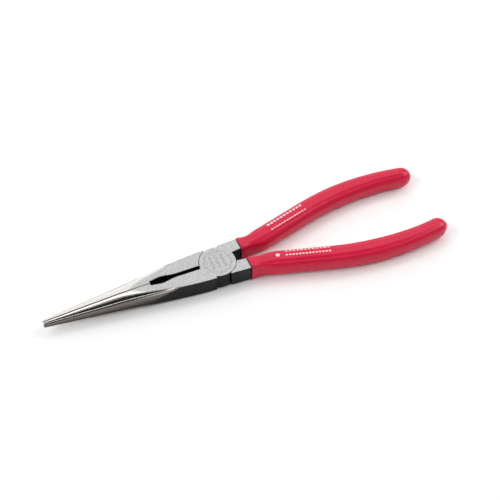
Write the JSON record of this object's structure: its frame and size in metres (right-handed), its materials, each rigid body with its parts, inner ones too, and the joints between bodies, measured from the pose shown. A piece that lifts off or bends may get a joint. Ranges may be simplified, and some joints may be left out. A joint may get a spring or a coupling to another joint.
{
  "type": "long-nose pliers",
  "caption": "Long-nose side-cutting pliers with a riveted lap joint, a toothed pipe grip and dipped plastic grips; the halves open on the pivot.",
  "frame": {"origin": "on the pivot axis, on the flat underside of the joint", "axes": "+X from the pivot towards the handles, the nose points along -X; +Y towards the right handle, held with the nose away from the hand and the top up; +Z along the pivot axis, out of the top face; the closed jaws meet on the plane y = 0"},
  "size_m": [0.2, 0.0504, 0.0107],
  "materials": {
    "ground_steel": "ground flat faces, polished nose, blackened sides",
    "rivet_steel": "ground flush",
    "dipped_pvc": "glossy dipped coating"
  },
  "bodies": {
    "right_side": {"right_half": "ground_steel", "right_grip": "dipped_pvc", "pivot_rivet": "rivet_steel"},
    "left_side": {"left_half": "ground_steel", "left_grip": "dipped_pvc"}
  },
  "joints": [
    {"name": "pivot", "type": "hinge", "parent": "right_side", "child": "left_side", "pos_m": [0, 0, 0], "axis": [0, 0, -1], "range_deg": [0, 42]}
  ]
}
